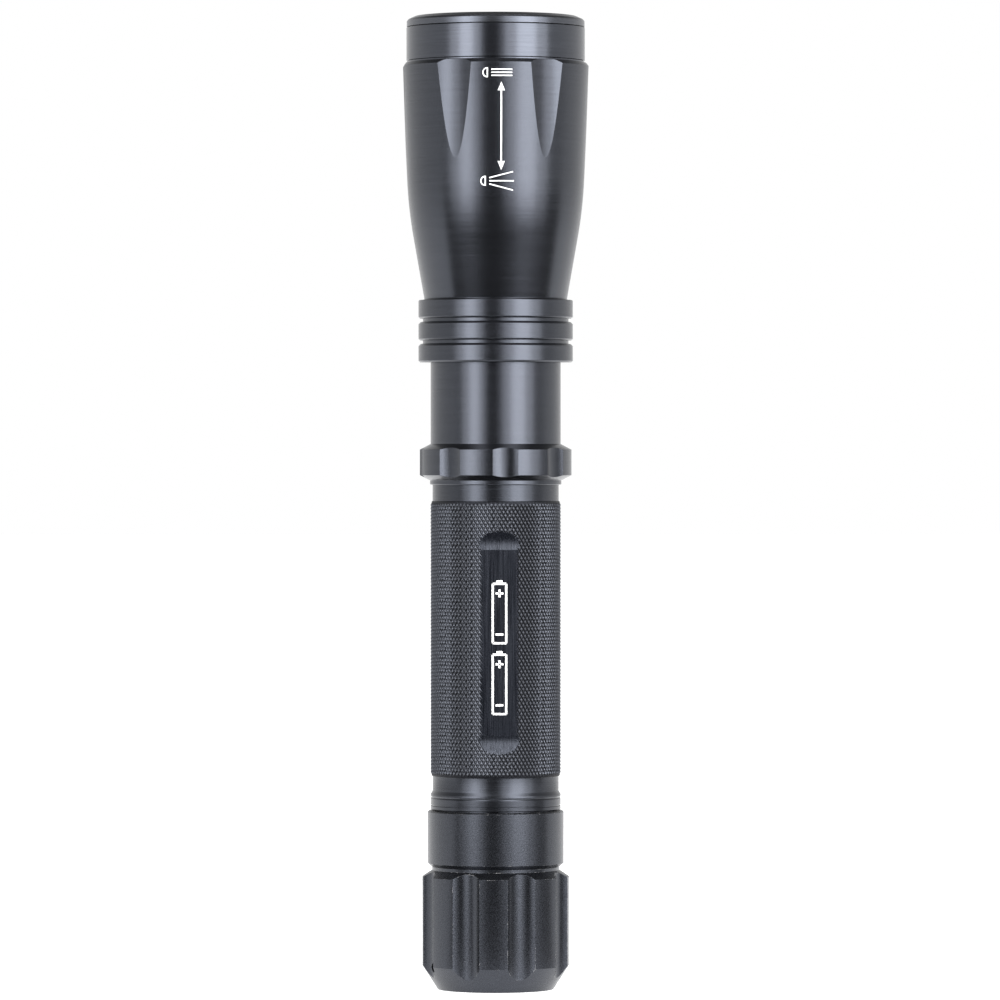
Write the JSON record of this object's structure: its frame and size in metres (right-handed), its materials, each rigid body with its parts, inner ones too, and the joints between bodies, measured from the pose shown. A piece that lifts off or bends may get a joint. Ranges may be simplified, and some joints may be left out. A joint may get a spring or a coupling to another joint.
{
  "type": "tactical flashlight",
  "caption": "Slim black zoom-focus flashlight with finned sliding head, knurled grip, notched collar, fluted screw-off tail cap and tail push button.",
  "frame": {"origin": "centre of the tail face, on the axis of the body", "axes": "+Z along the body towards the lens; the pocket in the grip and the printed marks face -Y; +X to the right when looking at the marks"},
  "size_m": [0.0424, 0.0432, 0.2242],
  "materials": {
    "anodised_smooth": "satin black anodised, fine turning lines",
    "anodised_bright_edge": "satin black anodised, finely turned chamfer",
    "anodised_grip": "black anodised diamond knurl, brushed flat pocket",
    "anodised_cap": "black anodised, bead blasted, bright specks on worn edges",
    "lens_acrylic": "clear polished acrylic",
    "black_rubber": "matt",
    "seal_rubber": "greased",
    "boot_rubber": "matt moulded silicone",
    "spring_steel": "bright drawn wire",
    "gold_spring": "gold plated wire",
    "nickel_contact": "nickel plated",
    "bare_aluminium": "plain turned",
    "brass_pill": "plain turned",
    "white_solder_mask": "glossy solder mask on an aluminium board",
    "phosphor": "yellow phosphor",
    "clear_silicone": "clear silicone dome",
    "white_plastic": "moulded",
    "wire_insulation": "extruded silicone insulation",
    "green_board": "glossy green solder mask",
    "black_component": "moulded component bodies",
    "black_plastic": "moulded",
    "cell_jacket": null
  },
  "bodies": {
    "focus_head": {"front_ring": "anodised_bright_edge", "bezel": "anodised_smooth", "lens_o_ring": "black_rubber", "lens": "lens_acrylic", "lens_gasket": "black_rubber", "head_shell": "anodised_smooth", "focus_o_rings": "black_rubber"},
    "body_tube": {"neck": "anodised_smooth", "stop_ring": "spring_steel", "tube_o_ring": "seal_rubber", "battery_tube": "anodised_grip", "tail_o_ring": "seal_rubber", "led_pill": "brass_pill", "led_star": "white_solder_mask", "led_emitter": "phosphor", "led_dome": "clear_silicone", "led_spacer": "white_plastic", "star_screws": "spring_steel", "led_wires": "wire_insulation", "driver_board": "green_board", "driver_parts": "black_component", "driver_spring": "gold_spring", "front_carrier": "black_plastic", "front_contacts": "nickel_contact", "front_cells": "cell_jacket", "rear_carrier": "black_plastic", "rear_contacts": "nickel_contact", "rear_cells": "cell_jacket"},
    "tail_contact": {"tail_spring": "gold_spring"},
    "tail_cap": {"tail_cap": "anodised_cap", "switch_boot": "boot_rubber", "switch_body": "black_plastic", "switch_board": "green_board", "switch_retainer": "bare_aluminium", "switch_spring": "spring_steel"},
    "tail_button": {"switch_plunger": "white_plastic"}
  },
  "joints": [
    {"name": "focus_slide", "type": "slide", "parent": "body_tube", "child": "focus_head", "axis": [0, 0, 1], "range_m": [-0.0185, 0]},
    {"name": "cap_travel", "type": "slide", "parent": "body_tube", "child": "tail_contact", "axis": [0, 0, 1], "range_m": [-0.00875, 0]},
    {"name": "cap_turn", "type": "hinge", "parent": "tail_contact", "child": "tail_cap", "pos_m": [0, 0, 0.02], "axis": [0, 0, 1], "range_deg": [-2520, 0]},
    {"name": "button_press", "type": "slide", "parent": "tail_cap", "child": "tail_button", "axis": [0, 0, 1], "range_m": [0, 0.0025], "stiffness_N_per_m": 800, "springref_m": -0.001, "deforming": ["switch_boot", "switch_spring"]}
  ],
  "couplings": [
    {"joint": "cap_turn", "follows": "cap_travel", "rad_per_m": 5026.5}
  ]
}
